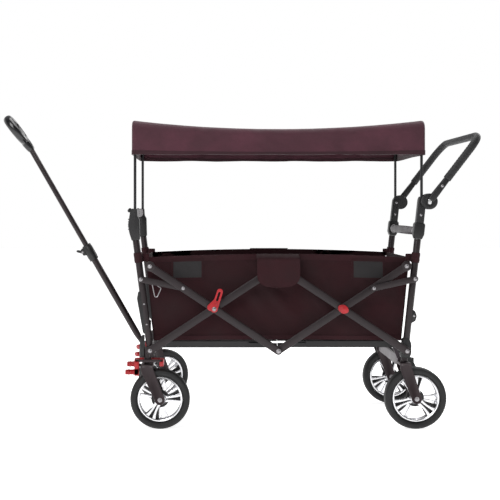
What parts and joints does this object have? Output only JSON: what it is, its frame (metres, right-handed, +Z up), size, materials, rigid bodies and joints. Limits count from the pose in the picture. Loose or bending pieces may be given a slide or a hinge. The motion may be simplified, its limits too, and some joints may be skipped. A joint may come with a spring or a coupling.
{
  "type": "wagon with pull handle",
  "caption": "Folding four-wheel handcart with a cloth tub, scissor-bar sides, a sun canopy on hoops, a telescopic pull handle and a tilting push handle.",
  "frame": {"origin": "on the ground, under the middle of the overall length and width with the pull handle in its stored length and the right caster turned as at rest", "axes": "+X towards the push handle at the rear, +Y towards the cart's right-hand side, +Z up"},
  "size_m": [1.5822, 0.5588, 1.0317],
  "materials": {
    "frame_paint": "dark grey-brown powder coat, satin",
    "fork_paint": "dark maroon-brown enamel, satin",
    "black_plastic": "black moulded plastic, fine grain",
    "gloss_black": "black moulded plastic, polished",
    "grey_metal": "brushed light grey",
    "red_plastic": "red moulded plastic",
    "plated_plastic": "moulded plastic with a bright metallic plating",
    "bright_metal": "polished",
    "tyre": "black foam-filled tyre",
    "tub_cloth": "dark plum-brown woven polyester, lined",
    "canopy_cloth": "plum-brown woven polyester",
    "foam": "black foam sleeve over a steel tube",
    "rod": "black wire rod, satin"
  },
  "bodies": {
    "front_frame": {"front_post_left": "frame_paint", "front_post_right": "frame_paint", "post_block_left": "black_plastic", "post_block_right": "black_plastic", "front_top_bar": "grey_metal", "front_bottom_bar": "frame_paint", "tub_end_front": "tub_cloth", "tub_side_left": "tub_cloth", "tub_side_right": "tub_cloth"},
    "rear_frame": {"rear_post_left": "frame_paint", "rear_post_right": "frame_paint", "mast_left": "black_plastic", "mast_right": "black_plastic", "rear_fork_left": "fork_paint", "rear_fork_right": "fork_paint", "rear_grab_bar": "grey_metal", "rear_bottom_bar": "grey_metal", "tub_end_rear": "tub_cloth"},
    "front_rising_left": {"bar_front_rising_left": "frame_paint"},
    "front_falling_left": {"bar_front_falling_left": "frame_paint"},
    "rear_rising_left": {"bar_rear_rising_left": "frame_paint", "crossing_cap_left": "red_plastic"},
    "rear_falling_left": {"bar_rear_falling_left": "frame_paint"},
    "front_strut_left": {"strut_front_left": "frame_paint"},
    "rear_strut_left": {"strut_rear_left": "frame_paint"},
    "latch_left": {"latch_lever_left": "red_plastic"},
    "caster_left": {"caster_fork_left": "fork_paint"},
    "rocker_left": {"caster_rocker_left": "red_plastic"},
    "front_wheel_left": {"front_tyre_left": "tyre", "front_rim_left": "plated_plastic"},
    "rear_wheel_left": {"rear_tyre_left": "tyre", "rear_rim_left": "plated_plastic"},
    "button_left": {"release_button_left": "bright_metal"},
    "front_rising_right": {"bar_front_rising_right": "frame_paint"},
    "front_falling_right": {"bar_front_falling_right": "frame_paint"},
    "rear_rising_right": {"bar_rear_rising_right": "frame_paint", "crossing_cap_right": "red_plastic"},
    "rear_falling_right": {"bar_rear_falling_right": "frame_paint"},
    "front_strut_right": {"strut_front_right": "frame_paint"},
    "rear_strut_right": {"strut_rear_right": "frame_paint"},
    "latch_right": {"latch_lever_right": "red_plastic"},
    "caster_right": {"caster_fork_right": "fork_paint"},
    "rocker_right": {"caster_rocker_right": "red_plastic"},
    "front_wheel_right": {"front_tyre_right": "tyre", "front_rim_right": "plated_plastic"},
    "rear_wheel_right": {"rear_tyre_right": "tyre", "rear_rim_right": "plated_plastic"},
    "button_right": {"release_button_right": "bright_metal"},
    "front_board": {"floor_board_front": "black_plastic"},
    "rear_board": {"floor_board_rear": "black_plastic"},
    "brake": {"rear_brake": "black_plastic"},
    "yoke": {"pull_yoke": "black_plastic"},
    "pull_lower": {"pull_tube_lower": "frame_paint"},
    "clamp": {"pull_clamp_lever": "black_plastic"},
    "pull_upper": {"pull_tube_upper": "frame_paint", "pull_grip": "gloss_black"},
    "push_handle": {"push_handle": "foam"},
    "front_hoop": {"front_hoop": "rod", "canopy_cover": "canopy_cloth"},
    "rear_hoop": {"rear_hoop": "rod"}
  },
  "joints": [
    {"name": "fold", "type": "hinge", "parent": "front_frame", "child": "front_rising_left", "pos_m": [-0.27432, -0.25354, 0.252], "axis": [0, -1, 0], "range_deg": [0, 41.6], "deforming": ["tub_side_left", "tub_side_right", "canopy_cover"]},
    {"name": "front_crossing_left", "type": "hinge", "parent": "front_rising_left", "child": "front_falling_left", "pos_m": [-0.06936, -0.25354, 0.38714], "axis": [0, -1, 0], "range_deg": [-83.25, 0]},
    {"name": "bottom_centre_left", "type": "hinge", "parent": "front_falling_left", "child": "rear_rising_left", "pos_m": [0.13559, -0.25354, 0.252], "axis": [0, -1, 0], "range_deg": [0, 83.25]},
    {"name": "rear_crossing_left", "type": "hinge", "parent": "rear_rising_left", "child": "rear_falling_left", "pos_m": [0.34055, -0.25354, 0.38714], "axis": [0, -1, 0], "range_deg": [-83.25, 0]},
    {"name": "rear_bottom_left", "type": "hinge", "parent": "rear_falling_left", "child": "rear_frame", "pos_m": [0.54551, -0.25354, 0.252], "axis": [0, -1, 0], "range_deg": [0, 41.65]},
    {"name": "front_bottom_right", "type": "hinge", "parent": "front_frame", "child": "front_rising_right", "pos_m": [-0.27432, 0.21646, 0.252], "axis": [0, -1, 0], "range_deg": [0, 41.65]},
    {"name": "front_crossing_right", "type": "hinge", "parent": "front_rising_right", "child": "front_falling_right", "pos_m": [-0.06936, 0.21646, 0.38714], "axis": [0, -1, 0], "range_deg": [-83.25, 0]},
    {"name": "rear_bottom_right", "type": "hinge", "parent": "rear_frame", "child": "rear_falling_right", "pos_m": [0.54551, 0.21646, 0.252], "axis": [0, -1, 0], "range_deg": [-41.65, 0]},
    {"name": "rear_crossing_right", "type": "hinge", "parent": "rear_falling_right", "child": "rear_rising_right", "pos_m": [0.34055, 0.21646, 0.38714], "axis": [0, -1, 0], "range_deg": [0, 83.25]},
    {"name": "front_strut_left", "type": "hinge", "parent": "front_frame", "child": "front_strut_left", "pos_m": [-0.30394, -0.25354, 0.48006], "axis": [0, -1, 0], "range_deg": [0, 74.75]},
    {"name": "rear_strut_left", "type": "hinge", "parent": "rear_frame", "child": "rear_strut_left", "pos_m": [0.57091, -0.25354, 0.4821], "axis": [0, -1, 0], "range_deg": [-77.17, 0]},
    {"name": "front_strut_right", "type": "hinge", "parent": "front_frame", "child": "front_strut_right", "pos_m": [-0.30394, 0.21646, 0.48006], "axis": [0, -1, 0], "range_deg": [0, 74.75]},
    {"name": "rear_strut_right", "type": "hinge", "parent": "rear_frame", "child": "rear_strut_right", "pos_m": [0.57091, 0.21646, 0.4821], "axis": [0, -1, 0], "range_deg": [-77.17, 0]},
    {"name": "front_board_hinge", "type": "hinge", "parent": "front_frame", "child": "front_board", "pos_m": [-0.24232, -0.01854, 0.264], "axis": [0, -1, 0], "range_deg": [0, 95.05]},
    {"name": "rear_board_hinge", "type": "hinge", "parent": "rear_frame", "child": "rear_board", "pos_m": [0.5135, -0.01854, 0.264], "axis": [0, -1, 0], "range_deg": [-95.05, 0]},
    {"name": "latch_left", "type": "hinge", "parent": "front_rising_left", "child": "latch_left", "pos_m": [-0.06936, -0.27354, 0.38714], "axis": [0, 1, 0], "range_deg": [0, 35]},
    {"name": "latch_right", "type": "hinge", "parent": "front_rising_right", "child": "latch_right", "pos_m": [-0.06936, 0.23646, 0.38714], "axis": [0, 1, 0], "range_deg": [0, 35]},
    {"name": "caster_swivel_left", "type": "hinge", "parent": "front_frame", "child": "caster_left", "pos_m": [-0.28232, -0.23354, 0.23], "axis": [0, 0, 1], "continuous": true},
    {"name": "front_wheel_spin_left", "type": "hinge", "parent": "caster_left", "child": "front_wheel_left", "pos_m": [-0.24232, -0.23354, 0.096], "axis": [0, 1, 0], "continuous": true},
    {"name": "caster_brake_left", "type": "hinge", "parent": "caster_left", "child": "rocker_left", "pos_m": [-0.31632, -0.23354, 0.203], "axis": [0, 1, 0], "range_deg": [0, 5]},
    {"name": "caster_swivel_right", "type": "hinge", "parent": "front_frame", "child": "caster_right", "pos_m": [-0.28232, 0.19646, 0.23], "axis": [0, 0, 1], "continuous": true},
    {"name": "front_wheel_spin_right", "type": "hinge", "parent": "caster_right", "child": "front_wheel_right", "pos_m": [-0.24768, 0.21646, 0.096], "axis": [-0.5, 0.866, 0], "continuous": true},
    {"name": "caster_brake_right", "type": "hinge", "parent": "caster_right", "child": "rocker_right", "pos_m": [-0.31176, 0.17946, 0.203], "axis": [-0.5, 0.866, 0], "range_deg": [0, 5]},
    {"name": "rear_wheel_spin_left", "type": "hinge", "parent": "rear_frame", "child": "rear_wheel_left", "pos_m": [0.57651, -0.23354, 0.099], "axis": [0, 1, 0], "continuous": true},
    {"name": "rear_wheel_spin_right", "type": "hinge", "parent": "rear_frame", "child": "rear_wheel_right", "pos_m": [0.57651, 0.19646, 0.099], "axis": [0, 1, 0], "continuous": true},
    {"name": "rear_brake_pedal", "type": "hinge", "parent": "rear_frame", "child": "brake", "pos_m": [0.54751, -0.01854, 0.222], "axis": [0, 1, 0], "range_deg": [0, 7]},
    {"name": "steering", "type": "hinge", "parent": "front_frame", "child": "yoke", "pos_m": [-0.31132, -0.01854, 0.225], "axis": [0, 0, 1], "range_deg": [-50, 50]},
    {"name": "pull_tilt", "type": "hinge", "parent": "yoke", "child": "pull_lower", "pos_m": [-0.31132, -0.01854, 0.245], "axis": [0, -1, 0], "range_deg": [-20, 70]},
    {"name": "pull_length", "type": "slide", "parent": "pull_lower", "child": "pull_upper", "axis": [-0.4985, 0, 0.8669], "range_m": [-0.25, 0]},
    {"name": "clamp_lever", "type": "hinge", "parent": "pull_lower", "child": "clamp", "pos_m": [-0.51582, -0.01854, 0.55652], "axis": [0, -1, 0], "range_deg": [0, 60]},
    {"name": "push_tilt", "type": "hinge", "parent": "rear_frame", "child": "push_handle", "pos_m": [0.61617, -0.01854, 0.729], "axis": [0, 1, 0], "range_deg": [-30, 75]},
    {"name": "release_button_left", "type": "slide", "parent": "push_handle", "child": "button_left", "axis": [0, 1, 0], "range_m": [0, 0.003], "stiffness_N_per_m": 400},
    {"name": "release_button_right", "type": "slide", "parent": "push_handle", "child": "button_right", "axis": [0, -1, 0], "range_m": [0, 0.003], "stiffness_N_per_m": 400},
    {"name": "canopy_lift", "type": "slide", "parent": "front_frame", "child": "front_hoop", "axis": [0, 0, 1], "range_m": [0, 0.05]},
    {"name": "rear_hoop_lift", "type": "slide", "parent": "rear_frame", "child": "rear_hoop", "axis": [0, 0, 1], "range_m": [0, 0.05]}
  ],
  "couplings": [
    {"joint": "front_crossing_left", "follows": "fold", "ratio": -2},
    {"joint": "bottom_centre_left", "follows": "fold", "ratio": 2},
    {"joint": "rear_crossing_left", "follows": "fold", "ratio": -2},
    {"joint": "rear_bottom_left", "follows": "fold", "ratio": 1},
    {"joint": "front_bottom_right", "follows": "fold", "ratio": 1},
    {"joint": "front_crossing_right", "follows": "fold", "ratio": -2},
    {"joint": "rear_bottom_right", "follows": "fold", "ratio": -1},
    {"joint": "rear_crossing_right", "follows": "fold", "ratio": 2},
    {"joint": "front_strut_left", "follows": "fold", "ratio": 1.7958},
    {"joint": "rear_strut_left", "follows": "fold", "ratio": -1.8539},
    {"joint": "front_strut_right", "follows": "fold", "ratio": 1.7958},
    {"joint": "rear_strut_right", "follows": "fold", "ratio": -1.8539},
    {"joint": "front_board_hinge", "follows": "fold", "ratio": 2.2837},
    {"joint": "rear_board_hinge", "follows": "fold", "ratio": -2.2837},
    {"joint": "rear_hoop_lift", "follows": "canopy_lift", "ratio": 1}
  ]
}
